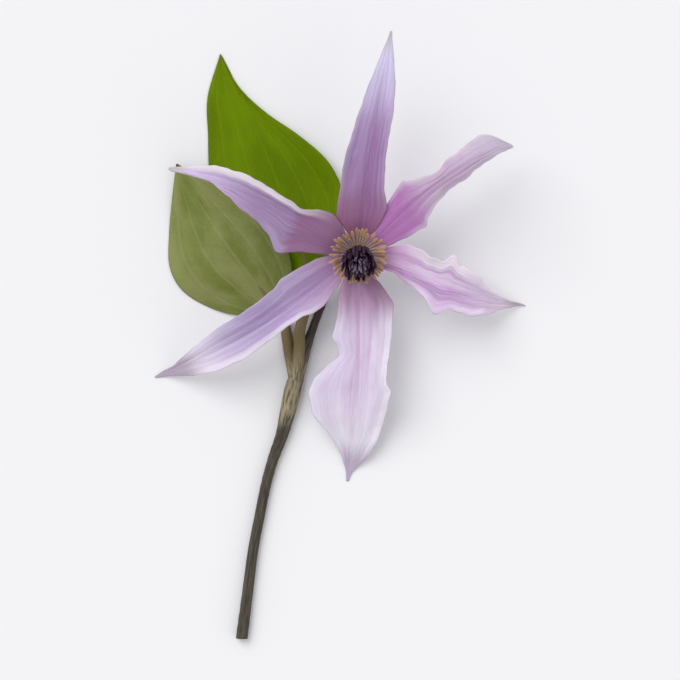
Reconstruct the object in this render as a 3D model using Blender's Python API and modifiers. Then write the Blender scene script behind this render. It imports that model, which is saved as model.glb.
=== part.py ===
"""Clematis flower, picked with its stalk and two leaves and laid on its back on a table.

Metres, +Z up. The table is Z = 0, and the origin is under the middle of the bounding box. The stalk's
cut end points towards -Y. The flower faces up and nods a little towards its stalk.
Shapes are worked out in millimetres about the flower's centre, and MM turns them into metres.
"""

import math
from collections import namedtuple

import bmesh
import bpy
import numpy as np

MM = 0.001

# The flower as a whole
FLOWER_HEIGHT = 10.5  # from the table to the plane where the sepals spring
NOD = math.radians(10.0)  # how far the flower's axis leans from upright towards -Y
SEAT_GAP = 0.3  # between a piece and what it grows from
STALK_GAP = 0.45  # the same along the flower's axis, under the receptacle, where the stalk curves away
TABLE_SOFTNESS = 0.45  # how gently a limp edge flattens where it meets the table

# Receptacle: the dome that carries every part of the flower
DOME_RADIUS = 2.3
DOME_HEIGHT = 2.3
NECK_RADIUS = 1.05
NECK_DEPTH = 2.6  # from the sepals' plane down to the stalk
SEPAL_SEAT_DEPTH = 0.35  # below the dome's widest ring

# Sepals
SEPAL_THICKNESS = 0.4
SEPAL_TIP_HALF_WIDTH = 0.22
SEPAL_CLAW_HALF_WIDTH = 1.6
SEPAL_NEIGHBOUR_GAP = 0.25
SEPAL_CELLS = (20, 6)

# bearing: degrees anticlockwise from +X. reach: distance from the flower's centre to the tip, in plan.
# left, right: distances from the line through claw and tip out to each edge, at even steps between the
# two, seen from above and looking outwards. bow: how far the midrib swings to the left at mid-length.
# rise, fall: degrees that the sepal climbs at its claw and drops at its tip. late: above 1, the drop
# comes near the tip. fold: degrees that each half tips up at mid-length. twist: degrees that the tip is
# turned. waves, ruffle: count and height of the margin's waves. phase: where the first wave starts.
Sepal = namedtuple(
    "Sepal",
    "name bearing reach left right bow rise fall late fold twist waves ruffle phase",
)
SEPALS = [
    Sepal("sepal_top", 81.6, 41.2,
          (5.3, 5.2, 5.2, 5.1, 4.5, 3.8, 3.0, 2.1, 1.1),
          (3.6, 3.2, 2.5, 2.4, 2.5, 2.6, 2.3, 1.8, 1.0),
          0.4, 18, -20, 1.3, 14, 4, 2.0, 0.5, 0.2),
    Sepal("sepal_upper_right", 34.7, 35.0,
          (6.0, 6.9, 7.1, 5.3, 4.5, 5.0, 5.5, 5.2, 3.6),
          (3.0, 2.6, 2.3, 1.0, 0.3, 0.1, -0.3, -0.3, 0.0),
          2.3, 17, -84, 3.0, -22, -10, 2.5, 0.5, 0.5),
    Sepal("sepal_right", -16.5, 33.2,
          (4.3, 4.2, 3.9, 3.1, 4.4, 2.5, 1.4, 0.6, 0.1),
          (2.0, 2.2, 3.5, 5.0, 7.0, 5.4, 4.7, 3.2, 1.4),
          -0.9, 11, -50, 1.1, 12, -8, 3.5, 0.9, 0.1),
    Sepal("sepal_bottom", -92.9, 42.9,
          (5.7, 7.2, 7.0, 6.7, 6.7, 7.2, 6.2, 4.6, 2.7),
          (2.5, 3.1, 3.5, 2.6, 6.0, 7.3, 5.3, 2.5, -0.2),
          1.2, 12, -24, 1.0, 6, 3, 2.5, 1.0, 0.8),
    Sepal("sepal_lower_left", -149.2, 45.0,
          (3.4, 5.0, 5.3, 5.0, 5.6, 5.9, 5.6, 4.6, 2.8),
          (3.0, 3.0, 2.9, 2.1, 1.7, 1.5, 1.3, 0.6, -0.3),
          2.2, 14, -37, 1.1, 14, 8, 2.5, 0.7, 0.4),
    Sepal("sepal_upper_left", 155.9, 39.0,
          (1.9, 3.6, 5.2, 3.7, 1.9, 0.5, -0.6, -1.2, -1.0),
          (4.6, 4.7, 3.6, 4.0, 4.6, 4.7, 4.5, 3.5, 1.9),
          -1.6, 18, -38, 1.2, 16, -12, 2.5, 0.6, 0.6),
]

# Stamens and styles, whorl by whorl. ring: where they stand on the dome, as a radius. start, end: degrees
# from the flower's axis at the foot and the tip. thick: radii of the thread and of the head. head: share
# of the length that is head. droop: how far the tip hangs over towards the stalk's side.
Whorl = namedtuple("Whorl", "name count ring length start end thick head material offset droop")
WHORLS = [
    Whorl("outer_stamen", 20, 2.08, 3.8, 66, 50, (0.16, 0.30), 0.46, "pollen_anther", 0.0, 0.0),
    Whorl("middle_stamen", 14, 1.6, 4.7, 30, 4, (0.16, 0.34), 0.5, "dark_anther", 0.3, 1.4),
    Whorl("inner_stamen", 10, 1.05, 4.7, 17, 2, (0.15, 0.30), 0.5, "dark_anther", 0.0, 1.4),
    Whorl("style", 5, 0.42, 4.6, 2, 8, (0.13, 0.23), 0.3, "style", 0.25, 1.4),
]
THREAD_POINTS = 8

# Stalk: route on the table from the cut end to the node, then up to the receptacle. X and Y are plan
# distances from the flower's centre, and z is the height of the stalk's middle line.
STALK_ROUTE = [
    (-22.1, -72.7, 1.1), (-21.3, -66.5, 1.05), (-20.0, -56.5, 1.0), (-18.7, -49.5, 1.0),
    (-17.5, -43.6, 1.0), (-16.1, -38.6, 1.05), (-14.5, -34.2, 1.2), (-13.3, -29.6, 1.5),
    (-12.3, -25.2, 1.6), (-10.8, -20.4, 1.45), (-8.5, -13.6, 1.6), (-6.3, -8.2, 2.1), (-3.2, -3.0, 3.4),
]
STALK_RADII = (1.08, 1.02, 0.96, 0.94, 0.95, 1.0, 1.15, 1.45, 1.55, 1.15, 0.76, 0.74, 0.76, 0.82, 0.95)
STALK_POINTS = 44
STALK_STRAIGHT = 2.2  # length just under the receptacle that follows the flower's axis

# Leaves. base, tip: ends of the midrib in plan. foot: where the leaf stalk starts, beside the node.
# left, right: half-widths at even steps from base to tip. heights: of the midrib at base, middle and tip.
# side_lift: how far the left and right margins stand above the midrib.
Leaf = namedtuple("Leaf", "name foot bend base tip left right bow heights side_lift material")
LEAVES = [
    Leaf("leaf_right", (-11.3, -19.8, 3.5), (-10.9, -13.5, 2.9), (-8.8, -5.6, 1.9), (-26.2, 38.4, 0.3),
         (0.5, 7.6, 11.0, 12.4, 11.4, 8.8, 5.8), (0.5, 7.4, 10.8, 10.4, 7.2, 3.0, 0.3),
         -1.2, (1.9, 0.5, -0.8), (0.2, 1.5), "leaf_upper_side"),
    Leaf("leaf_left", (-12.85, -19.5, 1.35), (-13.5, -15.5, 1.3), (-14.6, -11.0, 1.6), (-34.4, 17.4, 2.2),
         (0.5, 7.0, 10.4, 12.0, 11.2, 8.0, 4.2), (0.5, 6.4, 9.0, 9.8, 8.8, 6.2, 3.0),
         1.0, (1.6, 4.3, 2.2), (-4.6, 1.0), "leaf_under_side"),
]
LEAF_THICKNESS = 0.4
LEAF_TIP_HALF_WIDTH = 0.25
LEAF_CELLS = (14, 8)
LEAF_STALK_RADIUS = 0.68
LEAF_STALK_INSET = 5.0  # length that the leaf stalk runs on inside the blade as its midrib

COLOURS = {
    "sepal": ((0.58, 0.45, 0.66), 0.6),
    "pollen_anther": ((0.50, 0.38, 0.20), 0.8),
    "dark_anther": ((0.035, 0.012, 0.03), 0.6),
    "style": ((0.10, 0.07, 0.12), 0.7),
    "receptacle": ((0.30, 0.34, 0.12), 0.7),
    "stalk": ((0.11, 0.10, 0.06), 0.6),
    "leaf_upper_side": ((0.14, 0.23, 0.02), 0.45),
    "leaf_under_side": ((0.19, 0.23, 0.07), 0.7),
}


def material(name):
    """The named finish as a Principled material, made once."""
    found = bpy.data.materials.get(name)
    if found:
        return found
    colour, roughness = COLOURS[name]
    made = bpy.data.materials.new(name)
    made.use_nodes = True
    shader = made.node_tree.nodes["Principled BSDF"]
    shader.inputs["Base Color"].default_value = (*colour, 1.0)
    shader.inputs["Roughness"].default_value = roughness
    shader.inputs["Metallic"].default_value = 0.0
    return made


def through(values, t):
    """A smooth curve through evenly spaced values (Catmull-Rom), read at t from 0 to 1."""
    values = np.asarray(values, float)
    padded = np.concatenate([[2 * values[0] - values[1]], values, [2 * values[-1] - values[-2]]])
    place = np.clip(np.asarray(t, float), 0, 1) * (len(values) - 1)
    i = np.minimum(place.astype(int), len(values) - 2)
    f = (place - i).reshape(place.shape + (1,) * (values.ndim - 1))
    a, b, c, d = (padded[i + k] for k in range(4))
    return b + 0.5 * f * (c - a + f * (2 * a - 5 * b + 4 * c - d + f * (3 * (b - c) + d - a)))


def ease(t):
    """0 at 0 and 1 at 1, level at both ends."""
    return t * t * (3 - 2 * t)


def above_table(z, half_thickness):
    """Heights eased up so that none is under the table: a soft maximum of z and half the thickness."""
    over = (z - half_thickness) / TABLE_SOFTNESS
    return half_thickness + TABLE_SOFTNESS * np.logaddexp(0, over)


def from_flower(points):
    """Points about the flower's axis, leaned by its nod and lifted to its height above the table."""
    x, y, z = np.asarray(points, float).T
    cos, sin = math.cos(NOD), math.sin(NOD)
    return np.stack([x, y * cos - z * sin, y * sin + z * cos + FLOWER_HEIGHT], axis=-1)


def from_flower_in_plan(points):
    """As from_flower, but a point keeps its place in plan and only its height follows the nod."""
    x, y, z = np.asarray(points, float).T
    return np.stack([x, y, y * math.sin(NOD) + z * math.cos(NOD) + FLOWER_HEIGHT], axis=-1)


def turned(x, y, degrees):
    """x and y turned anticlockwise about the flower's axis."""
    a = math.radians(degrees)
    return x * math.cos(a) - y * math.sin(a), x * math.sin(a) + y * math.cos(a)


# ---- sepals


def room_beside(sepal, side):
    """Half the angle, in degrees, to the next sepal on that side: +1 is left and -1 is right."""
    turns = [(side * (other.bearing - sepal.bearing)) % 360 for other in SEPALS if other is not sepal]
    return min(turns) / 2


def sepal_shape(sepal, t, s):
    """A sepal's middle surface. t runs from claw to tip, and s from -1, its right edge, to 1, its left.

    The midrib climbs at rise, then bends over to fall, and swings sideways by bow. Each half stands off
    the midrib by fold, the margin waves, and the whole section turns by twist towards the tip.
    """
    steps = np.linspace(0, 1, 200)
    slopes = np.radians(sepal.rise + (sepal.fall - sepal.rise) * ease(steps**sepal.late))
    start = DOME_RADIUS + SEAT_GAP
    out = np.concatenate([[0], np.cumsum((np.cos(slopes[1:]) + np.cos(slopes[:-1])) / 2)])
    up = np.concatenate([[0], np.cumsum((np.sin(slopes[1:]) + np.sin(slopes[:-1])) / 2)])
    scale = (sepal.reach - start) / out.max()
    radius = start + scale * np.interp(t, steps, out)
    height = scale * np.interp(t, steps, up) - SEPAL_SEAT_DEPTH
    slope = np.interp(t, steps, slopes)

    middle = np.sin(math.pi * t)
    width = np.zeros_like(t)
    for side, edge in ((1, sepal.left), (-1, sepal.right)):
        profile = through((SEPAL_CLAW_HALF_WIDTH, *edge, 0), t) - side * sepal.bow * middle
        room = radius * math.tan(math.radians(room_beside(sepal, side))) - SEPAL_NEIGHBOUR_GAP
        room = room - side * sepal.bow * middle
        here = np.minimum(np.maximum(profile, SEPAL_TIP_HALF_WIDTH), room)
        width = np.where(side * s >= 0, here, width)

    lean = math.tan(math.radians(sepal.fold)) * middle
    wave = np.sin(2 * math.pi * (sepal.waves * t + sepal.phase + 0.17 * np.sign(s)))
    lift = width * np.abs(s) ** 1.5 * lean + sepal.ruffle * wave * middle * np.abs(s) ** 3
    across = s * width
    turn = np.radians(sepal.twist) * t**1.5
    across, lift = across * np.cos(turn) - lift * np.sin(turn), across * np.sin(turn) + lift * np.cos(turn)

    x = radius - lift * np.sin(slope)
    y = across + sepal.bow * middle
    z = height + lift * np.cos(slope)
    x, y = turned(x, y, sepal.bearing)
    points = from_flower_in_plan(np.stack([x, y, z], axis=-1))
    points[:, 2] = above_table(points[:, 2], SEPAL_THICKNESS / 2)
    return points


# ---- leaves


def leaf_shape(leaf, t, s):
    """A leaf blade's middle surface: an oval about a bowed midrib, each side lifted or dropped evenly."""
    base, tip = np.array(leaf.base[:2]), np.array(leaf.tip[:2])
    along = tip - base
    aside = np.array([-along[1], along[0]]) / np.linalg.norm(along)
    width = np.where(
        s >= 0,
        through((*leaf.left, LEAF_TIP_HALF_WIDTH), t),
        through((*leaf.right, LEAF_TIP_HALF_WIDTH), t),
    )
    middle = np.sin(math.pi * t)
    plan = base + t[:, None] * along + (s * width + leaf.bow * middle)[:, None] * aside
    side = np.where(s >= 0, leaf.side_lift[0], leaf.side_lift[1])
    height = through(leaf.heights, t) + side * middle * s * s
    return np.column_stack([plan, above_table(height, LEAF_THICKNESS / 2)])


def leaf_stalk_line(leaf):
    """The leaf stalk's middle line: from beside the node, along the blade's midrib for the inset."""
    inset = LEAF_STALK_INSET / math.dist(leaf.base[:2], leaf.tip[:2])
    inside = leaf_shape(leaf, np.array([0.0, inset]), np.zeros(2))
    route = [leaf.foot, leaf.bend, tuple(inside[0]), tuple(inside[1])]
    return through(route, np.linspace(0, 1, 14))


# ---- making solids


def place(obj, frame):
    """Puts the object in the model's collection, under its frame."""
    bpy.data.collections["clematis_flower"].objects.link(obj)
    obj.parent = frame
    return obj


def sheet(name, shape, cells, thickness, finish, frame):
    """A thin blade: a flat grid whose points are moved onto shape(t, s), given its thickness."""
    mesh = bpy.data.meshes.new(name)
    grid = bmesh.new()
    bmesh.ops.create_grid(grid, x_segments=cells[0], y_segments=cells[1], size=1.0)
    flat = np.array([v.co for v in grid.verts])
    moved = shape((flat[:, 0] + 1) / 2, flat[:, 1])
    for vertex, point in zip(grid.verts, moved):
        vertex.co = point * MM
    bmesh.ops.recalc_face_normals(grid, faces=grid.faces)
    grid.to_mesh(mesh)
    grid.free()
    mesh.shade_smooth()
    mesh.materials.append(material(finish))
    obj = bpy.data.objects.new(name, mesh)
    solidify = obj.modifiers.new("thickness", "SOLIDIFY")
    solidify.thickness = thickness * MM
    solidify.offset = 0.0
    return place(obj, frame)


def tube(name, line, radii, sides, finish, frame):
    """A round stem along a line of points, with its own radius at each point and closed ends."""
    curve = bpy.data.curves.new(name, "CURVE")
    curve.dimensions = "3D"
    curve.bevel_depth = MM
    curve.bevel_resolution = (sides - 4) // 2
    curve.use_fill_caps = True
    spline = curve.splines.new("POLY")
    spline.points.add(len(line) - 1)
    for point, at, radius in zip(spline.points, line, radii):
        point.co = (*(np.asarray(at) * MM), 1.0)
        point.radius = radius
    curve.materials.append(material(finish))
    return place(bpy.data.objects.new(name, curve), frame)


def as_mesh(obj):
    """The curve object made a mesh object of the same name and place, with its caps welded on."""
    graph = bpy.context.evaluated_depsgraph_get()
    mesh = bpy.data.meshes.new_from_object(obj.evaluated_get(graph))
    welded = bmesh.new()
    welded.from_mesh(mesh)
    bmesh.ops.remove_doubles(welded, verts=welded.verts, dist=0.001 * MM)
    welded.to_mesh(mesh)
    welded.free()
    name, parent, matrix = obj.name, obj.parent, obj.matrix_world.copy()
    bpy.data.objects.remove(obj)
    made = bpy.data.objects.new(name, mesh)
    place(made, parent)
    made.matrix_world = matrix
    return made


def make_receptacle(frame):
    """A dome with a tapering neck below it, turned about the flower's axis."""
    dome = [
        (DOME_RADIUS * math.sin(a), DOME_HEIGHT * math.cos(a))
        for a in np.linspace(0, math.pi / 2, 7)
    ]
    neck = [(0.84 * DOME_RADIUS, -0.3 * NECK_DEPTH), (1.25 * NECK_RADIUS, -0.75 * NECK_DEPTH)]
    foot = [(NECK_RADIUS, -NECK_DEPTH), (0.0, -NECK_DEPTH)]
    profile = dome + neck + foot
    mesh = bpy.data.meshes.new("receptacle")
    ends = [(i, i + 1) for i in range(len(profile) - 1)]
    mesh.from_pydata([(r * MM, 0, z * MM) for r, z in profile], ends, [])
    mesh.materials.append(material("receptacle"))
    obj = bpy.data.objects.new("receptacle", mesh)
    screw = obj.modifiers.new("turning", "SCREW")
    screw.steps = 18
    screw.render_steps = 18
    screw.use_merge_vertices = True
    screw.merge_threshold = 0.01 * MM
    obj.location = (0, 0, FLOWER_HEIGHT * MM)
    obj.rotation_euler = (NOD, 0, 0)
    return place(obj, frame)


def thread_line(whorl, bearing):
    """A stamen's or style's middle line: it leaves the dome at start and turns evenly to end."""
    tip_angle = np.radians(np.linspace(whorl.start, whorl.end, THREAD_POINTS - 1))
    step = whorl.length / (THREAD_POINTS - 1)
    foot_height = DOME_HEIGHT * math.sqrt(1 - (whorl.ring / DOME_RADIUS) ** 2)
    normal = np.array([whorl.ring / DOME_RADIUS**2, foot_height / DOME_HEIGHT**2])
    foot = np.array([whorl.ring, foot_height]) + SEAT_GAP * normal / np.linalg.norm(normal)
    radius = foot[0] + np.concatenate([[0], np.cumsum(step * np.sin(tip_angle))])
    height = foot[1] + np.concatenate([[0], np.cumsum(step * np.cos(tip_angle))])
    x, y = turned(radius, np.zeros(THREAD_POINTS), bearing)
    y = y - whorl.droop * np.linspace(0, 1, THREAD_POINTS) ** 2
    return from_flower(np.stack([x, y, height], axis=-1))


def thread_radii(whorl):
    """Thin along the thread, swelling to the head and drawn in at the tip."""
    thread, head = whorl.thick
    t = np.linspace(0, 1, THREAD_POINTS)
    into = np.clip((t - (1 - whorl.head)) / whorl.head, 0, 1)
    return thread + (head - thread) * np.sqrt(np.sin(math.pi * np.clip(0.12 + 0.8 * into, 0, 1))) * (into > 0)


def make_whorl(whorl, frame):
    """The stamens or styles of one ring, evenly spaced about the flower's axis."""
    for i in range(whorl.count):
        bearing = (i + whorl.offset) * 360 / whorl.count
        name = f"{whorl.name}_{i + 1:02d}"
        tube(name, thread_line(whorl, bearing), thread_radii(whorl), 6, whorl.material, frame)


def make_stalk(frame):
    """One stem: cut end, swollen node, then the thinner flower stalk up to the receptacle's foot."""
    top = from_flower([(0, 0, -NECK_DEPTH - STALK_GAP)])[0]
    below = from_flower([(0, 0, -NECK_DEPTH - STALK_GAP - STALK_STRAIGHT)])[0]
    route = [*STALK_ROUTE, tuple(below), tuple(top)]
    t = np.linspace(0, 1, STALK_POINTS)
    tube("stalk", through(route, t), through(STALK_RADII, t), 8, "stalk", frame)


def make_leaf(leaf, frame, helpers):
    """A blade with its leaf stalk joined on, as the one piece that grew."""

    def shape(t, s):
        return leaf_shape(leaf, t, s)

    blade = sheet(leaf.name, shape, LEAF_CELLS, LEAF_THICKNESS, leaf.material, frame)
    line = leaf_stalk_line(leaf)
    radii = through((1.25, 1.45, 1.35, 0.9, 0.5), np.linspace(0, 1, len(line))) * LEAF_STALK_RADIUS
    stalk = as_mesh(tube(leaf.name + "_stalk", line, radii, 8, leaf.material, frame))
    bpy.data.collections["clematis_flower"].objects.unlink(stalk)
    helpers.objects.link(stalk)
    stalk.hide_render = True
    stalk.display_type = "WIRE"
    join = blade.modifiers.new("leaf stalk", "BOOLEAN")
    join.operation = "UNION"
    join.solver = "EXACT"
    join.object = stalk


def stand_on_origin(frame, parts):
    """Moves the frame so that the parts' bounding box is centred on Z and stands on Z = 0."""
    bpy.context.view_layer.update()
    graph = bpy.context.evaluated_depsgraph_get()
    corners = []
    for obj in parts.objects:
        evaluated = obj.evaluated_get(graph)
        mesh = evaluated.to_mesh()
        points = np.empty(len(mesh.vertices) * 3, np.float32)
        mesh.vertices.foreach_get("co", points)
        turn = np.array(obj.matrix_world)
        world = points.reshape(-1, 3) @ turn[:3, :3].T + turn[:3, 3]
        corners += [world.min(axis=0), world.max(axis=0)]
        evaluated.to_mesh_clear()
    low, high = np.min(corners, axis=0), np.max(corners, axis=0)
    frame.location = (-(low[0] + high[0]) / 2, -(low[1] + high[1]) / 2, -low[2])


def main():
    for obj in list(bpy.data.objects):
        bpy.data.objects.remove(obj)
    parts = bpy.data.collections.new("clematis_flower")
    helpers = bpy.data.collections.new("joined_in")
    bpy.context.scene.collection.children.link(parts)
    bpy.context.scene.collection.children.link(helpers)
    frame = bpy.data.objects.new("flower_frame", None)
    bpy.context.scene.collection.objects.link(frame)

    for sepal in SEPALS:
        sheet(
            sepal.name,
            lambda t, s, sepal=sepal: sepal_shape(sepal, t, s),
            SEPAL_CELLS,
            SEPAL_THICKNESS,
            "sepal",
            frame,
        )
    make_receptacle(frame)
    for whorl in WHORLS:
        make_whorl(whorl, frame)
    make_stalk(frame)
    for leaf in LEAVES:
        make_leaf(leaf, frame, helpers)
    stand_on_origin(frame, parts)


main()
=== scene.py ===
"""The looks of a picked clematis flower, lying face up with its stalk and two leaves.

Shapes are worked out in millimetres about the flower's centre, like the solids that they replace, and
row_frame() puts them in metres where the solids stand. A blade (sepal or leaf) is a function of t, from
its foot to its tip, and s, from -1 at its right edge to 1 at its left, seen from above, looking outwards.
"""

import math
from collections import namedtuple
from functools import partial

import bpy
import numpy as np
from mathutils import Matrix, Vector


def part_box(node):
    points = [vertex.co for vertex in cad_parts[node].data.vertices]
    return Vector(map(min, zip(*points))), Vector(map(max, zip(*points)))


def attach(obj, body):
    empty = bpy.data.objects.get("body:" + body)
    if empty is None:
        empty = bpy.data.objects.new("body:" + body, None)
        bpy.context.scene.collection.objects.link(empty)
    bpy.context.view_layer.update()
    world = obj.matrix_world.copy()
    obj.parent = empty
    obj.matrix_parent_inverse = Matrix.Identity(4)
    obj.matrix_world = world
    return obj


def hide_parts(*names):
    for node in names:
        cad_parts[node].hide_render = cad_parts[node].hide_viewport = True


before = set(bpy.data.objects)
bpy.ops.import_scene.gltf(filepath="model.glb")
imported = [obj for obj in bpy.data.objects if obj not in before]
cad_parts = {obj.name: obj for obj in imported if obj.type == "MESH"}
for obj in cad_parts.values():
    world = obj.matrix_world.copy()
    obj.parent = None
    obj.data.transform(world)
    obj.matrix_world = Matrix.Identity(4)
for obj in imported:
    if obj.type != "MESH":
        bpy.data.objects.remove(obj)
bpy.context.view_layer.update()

MM = 0.001
FULL_TURN = 360

# The flower as the solids have it, in mm
FLOWER_HEIGHT = 10.5
NOD = math.radians(10.0)
STALK_GAP = 0.45
STALK_STRAIGHT = 2.2  # length of stalk under the neck that points along the flower's axis
STALK_INTO_NECK = 0.8  # how far the visible stalk runs on into the neck
TABLE_SOFTNESS = 0.45
SOLID_DOME_POINTS = 7
SOLID_DOME_AROUND = 18
DOME_RADIUS = 2.3
DOME_HEIGHT = 2.3
NECK_RADIUS = 1.05
NECK_DEPTH = 2.6
SEPAL_SEAT_DEPTH = 0.35
SEPAL_ROOT_RADIUS = 1.9  # inside the dome, so that no light shows between

# The visible sepals, leaves and tubes. CELLS: how many cells each has along it and across or around it.
CLEAR_OF_TABLE = 0.02
LOWEST_POINT = 0.01
SEPAL_HALF_THICKNESS = 0.15
SEPAL_OVERLAP = 0.45  # how far a sepal passes the middle line to its neighbour, near their claws
SEPAL_TIER = 0.3  # every other sepal lies this much higher there
SEPAL_LEAST_HALF_WIDTH = 0.06
SEPAL_CELLS = (170, 44)
OUTLINE_STEPS = 500
OUTLINE_SMOOTHING = 12  # steps on either side over which an outline's corners are rounded
LEAF_HALF_THICKNESS = 0.15
LEAF_CELLS = (150, 72)
LEAF_STALK_CELLS = (120, 20)
LEAF_STALK_LEAST_HEIGHT = 0.5
STALK_CELLS = (260, 36)
DOME_CELLS = (24, 48)
THREAD_CELLS = (34, 14)

# bearing: degrees anticlockwise from +X. reach: distance from the flower's centre to the tip, in plan.
# left, right: the edges, as (distance outwards from the centre, distance from the line to the tip). bow:
# how far the midrib swings to the left at mid-length. rise, fall: degrees that the sepal climbs at its
# foot and drops at its tip. late: above 1, the drop comes near the tip. fold: degrees that each half tips
# up at mid-length. twist: degrees that the tip is turned. waves, ruffle: count and height of the margin's
# waves. phase: where the first wave starts. frill: size of the margin's fine uneven waves. roll: how
# strongly both margins curl down towards the tip.
Sepal = namedtuple(
    "Sepal",
    "node bearing reach left right bow rise fall late fold twist waves ruffle phase frill roll",
)
SEPALS = [
    Sepal("sepal_top", 81.6, 41.2,
          [(2.6, 1.6), (6.4, 5.2), (10.9, 5.2), (17.8, 5.1), (24.6, 3.9), (30.3, 2.8), (36.1, 1.4),
           (40, 0.4)],
          [(2.6, 1.6), (5.5, 2.9), (9.2, 4.1), (12.5, 3.0), (17, 2.4), (21, 2.4), (27, 2.5), (32, 2.1),
           (37, 1.1), (40, 0.3)],
          0.4, 18, -20, 1.3, 14, 4, 2.0, 0.5, 0.2, 0.05, 0.1),
    Sepal("sepal_upper_right", 34.7, 35.0,
          [(2.6, 1.6), (5.5, 4.0), (9.5, 6.0), (13.4, 7.3), (14.6, 5.9), (16.6, 5.2), (20.3, 4.2),
           (23, 5.0), (27.6, 5.3), (30, 5.6), (32.3, 5.6), (33.3, 4.6), (33.9, 2.2), (34.5, 0.6)],
          [(2.6, 1.6), (9.7, 2.7), (11.8, 2.9), (13.2, 3.1), (14.2, 1.7), (17.2, 0.6), (20.6, -0.1),
           (24.6, -0.2), (28.4, -0.6), (32, -0.2), (34.6, 0.1)],
          2.3, 17, -84, 3.0, -10, -10, 2.5, 0.3, 0.5, 0.1, 0.8),
    Sepal("sepal_right", -16.5, 33.2,
          [(2.6, 1.6), (7.9, 4.3), (11.3, 4.2), (13.2, 3.0), (15.6, 3.1), (16.8, 5.0), (17.6, 4.9),
           (18.4, 3.8), (22, 2.3), (26, 1.0), (30, -0.1), (32, 0.0)],
          [(2.6, 1.6), (7.1, 1.4), (11.0, 3.0), (14.8, 4.7), (16.2, 6.9), (17.2, 6.8), (18.4, 5.4),
           (23.0, 5.0), (26.4, 3.7), (29.2, 2.0), (32, 0.3)],
          -0.9, 11, -50, 1.1, 14, -8, 3.5, 0.8, 0.1, 0.13, 0.0),
    Sepal("sepal_bottom", -92.9, 42.9,
          [(2.6, 1.6), (5.6, 4.7), (9.0, 7.1), (12.0, 7.1), (18, 6.8), (22, 6.6), (24.2, 6.5), (25, 7.6),
           (28.4, 7.0), (34.0, 5.8), (37.7, 3.9), (41, 1.0)],
          [(2.6, 1.6), (5.5, 2.8), (7.2, 3.3), (10.8, 3.2), (15.7, 4.0), (17.4, 2.8), (19.3, 2.7),
           (21.2, 5.2), (23.7, 7.3), (26.3, 8.0), (30.0, 7.2), (32.8, 4.9), (35.2, 3.1), (38.2, 1.2),
           (41, 0.2)],
          1.2, 12, -24, 1.0, 8, 3, 2.5, 0.9, 0.8, 0.08, 0.1),
    Sepal("sepal_lower_left", -149.2, 45.0,
          [(2.6, 1.6), (6.5, 3.2), (10.4, 5.0), (13.0, 5.3), (14.9, 4.7), (18.0, 4.8), (22, 5.5), (28, 6.0),
           (33, 5.4), (38.3, 3.6), (42.5, 1.2)],
          [(2.6, 1.6), (5.0, 2.6), (7.3, 3.3), (11.0, 3.4), (15.0, 3.4), (17.0, 2.3), (21, 1.8), (26, 1.6),
           (31, 1.5), (36, 0.8), (41, 0.0), (43, 0.2)],
          2.2, 14, -37, 1.1, 22, 8, 2.5, 0.4, 0.4, 0.05, 0.0),
    Sepal("sepal_upper_left", 155.9, 39.0,
          [(2.6, 1.6), (5, 2.5), (7, 3.0), (10, 4.0), (13.6, 5.8), (14.6, 5.8), (16.5, 3.7), (20, 2.2),
           (24.8, 0.6), (29.3, -0.8), (33, -1.4), (37, -0.9)],
          [(2.6, 1.6), (5.2, 3.8), (7.4, 4.9), (10.5, 4.4), (13, 3.2), (16.5, 3.8), (21, 4.7), (26, 4.8),
           (30, 4.2), (34, 2.7), (37, 1.3)],
          -1.6, 18, -38, 1.2, 20, -12, 2.5, 0.5, 0.6, 0.09, 0.0),
]

# count: the solids' stamens. between: finer ones between them. ring: where they stand on the dome, as a
# radius. start, end: degrees from the flower's axis at the foot and the tip. thick: radii of the thread
# and of the head. head: share of the length that is head. offset: where the first one stands, in steps
# round the ring. droop: how far the tips hang over towards the stalk's side.
Whorl = namedtuple("Whorl", "name count between ring length start end thick head finish offset droop")
WHORLS = [
    Whorl("outer_stamen", 20, 36, 2.08, 3.8, 66, 50, (0.13, 0.28), 0.5, "pollen_anther", 0.0, 0.0),
    Whorl("middle_stamen", 14, 15, 1.6, 4.7, 30, 4, (0.16, 0.36), 0.55, "dark_anther", 0.3, 1.4),
    Whorl("inner_stamen", 10, 12, 1.05, 4.7, 17, 2, (0.15, 0.34), 0.55, "dark_anther", 0.0, 1.4),
]
STYLES = Whorl("style", 5, 0, 0.42, 4.6, 2, 8, (0.13, 0.23), 0.35, "style", 0.25, 1.4)
STRANDS_PER_STYLE = 5
BETWEEN_INSET = 0.22  # how much nearer to the axis the finer stamens stand
BETWEEN_SPREAD = 2.0  # and how much more unevenly they lean

# The stalk's middle line from the cut end, by the node, to under the flower
STALK_ROUTE = [
    (-22.1, -72.7, 1.1), (-21.3, -66.5, 1.05), (-20.0, -56.5, 1.0), (-18.7, -49.5, 1.0),
    (-17.5, -43.6, 1.0), (-16.1, -38.6, 1.05), (-14.5, -34.2, 1.2), (-13.3, -29.6, 1.5),
    (-12.3, -25.2, 1.6), (-10.8, -20.4, 1.45), (-8.5, -13.6, 1.6), (-6.3, -8.2, 2.1), (-3.2, -3.0, 3.4),
]
STALK_RADII = (1.08, 1.02, 0.96, 0.94, 0.95, 1.0, 1.15, 1.45, 1.55, 1.15, 0.76, 0.74, 0.76, 0.82, 0.95)

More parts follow.
